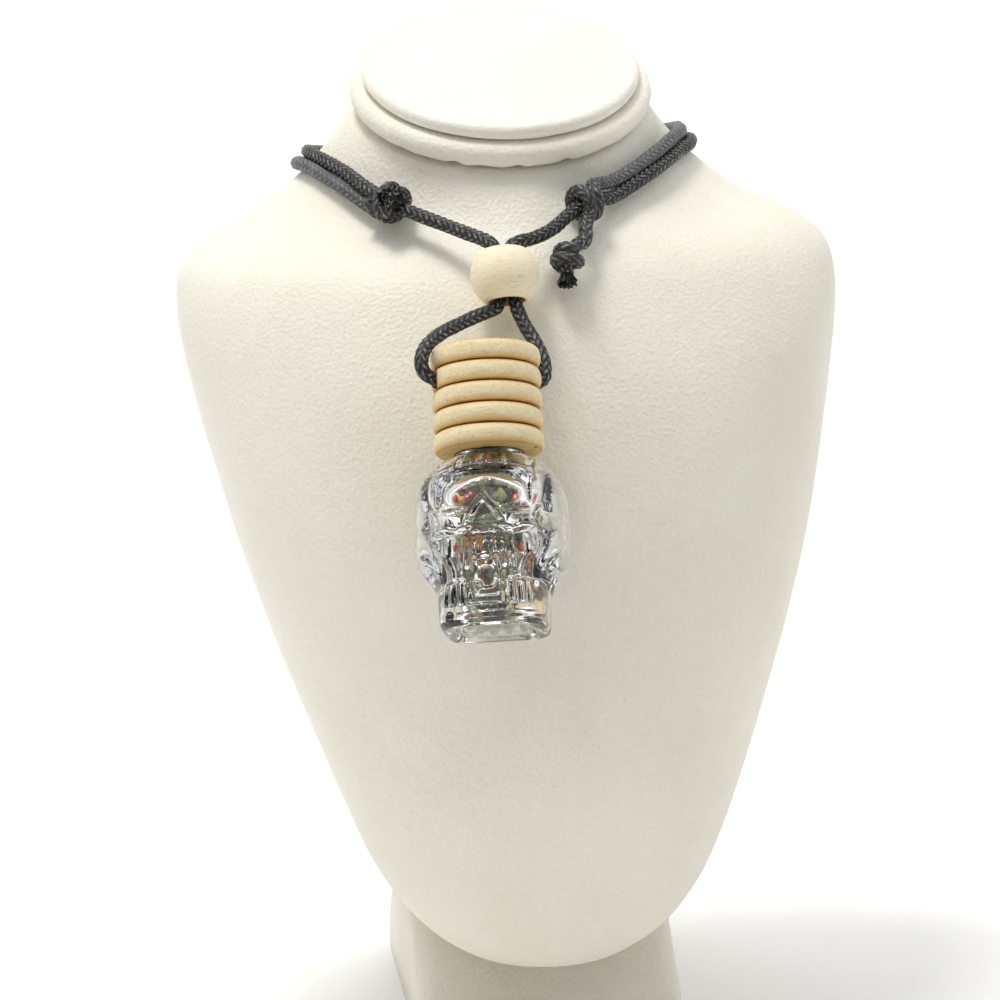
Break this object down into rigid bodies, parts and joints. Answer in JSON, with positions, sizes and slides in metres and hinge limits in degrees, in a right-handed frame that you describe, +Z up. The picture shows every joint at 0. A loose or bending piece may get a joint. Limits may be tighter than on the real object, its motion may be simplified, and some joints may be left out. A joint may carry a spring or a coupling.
{
  "type": "skull bottle pendant on neck bust",
  "caption": "Small skull-shaped glass bottle of stone chips under a turned wooden cap, hung by a waxed cord and bead on a padded neck bust.",
  "frame": {"origin": "centre of the foot's underside", "axes": "+Z up, the chest towards -Y, +X to the right of someone who looks at the chest"},
  "size_m": [0.144, 0.1392, 0.2171],
  "materials": {
    "bust_cover": "off-white leatherette with a fine grain",
    "clear_glass": "clear moulded glass",
    "stone_chips": "tumbled grey-green, olive and red-brown chips",
    "cap_wood": "turned pale birch with darker grooves",
    "bead_wood": "smooth pale birch",
    "waxed_cord": "braided waxed cotton, black"
  },
  "bodies": {
    "root": {"bust_body": "bust_cover", "bust_top": "bust_cover", "bust_roll": "bust_cover", "bust_foot": "bust_cover", "glass_bottle": "clear_glass", "stone_chips": "stone_chips", "wood_cap": "cap_wood", "wood_bead": "bead_wood", "cord_left": "waxed_cord", "cord_right": "waxed_cord", "left_knot": "waxed_cord", "right_knot": "waxed_cord", "tail_knot": "waxed_cord"}
  },
  "joints": []
}
